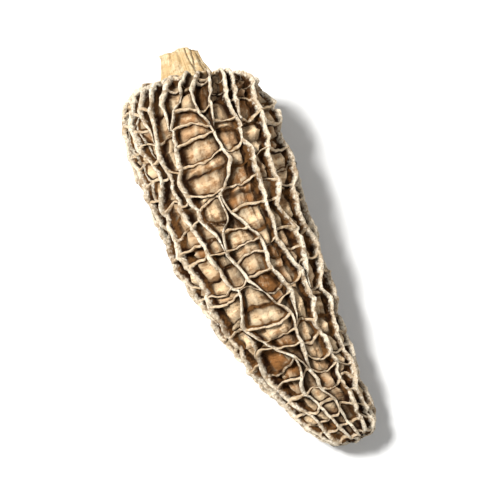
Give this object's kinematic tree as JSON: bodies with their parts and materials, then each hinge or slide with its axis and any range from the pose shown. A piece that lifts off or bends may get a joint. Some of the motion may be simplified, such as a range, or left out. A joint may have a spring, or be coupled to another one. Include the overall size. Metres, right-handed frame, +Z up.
{
  "type": "morel mushroom",
  "caption": "Dried black morel: a hollow, honeycombed cap of long ribs and sunken pits on a short cut stem, lying on its side.",
  "frame": {"origin": "on the surface that the mushroom lies on, under the middle of its overall box", "axes": "+X from the cut stem to the tip of the cap, +Y across the cap, +Z up"},
  "size_m": [0.0522, 0.0194, 0.0159],
  "materials": {
    "flesh": "dry and matt: pale cream-grey rib edges, grey-brown pit walls, papery golden-tan pit floors and a cream stem"
  },
  "bodies": {
    "root": {"morel": "flesh"}
  },
  "joints": []
}
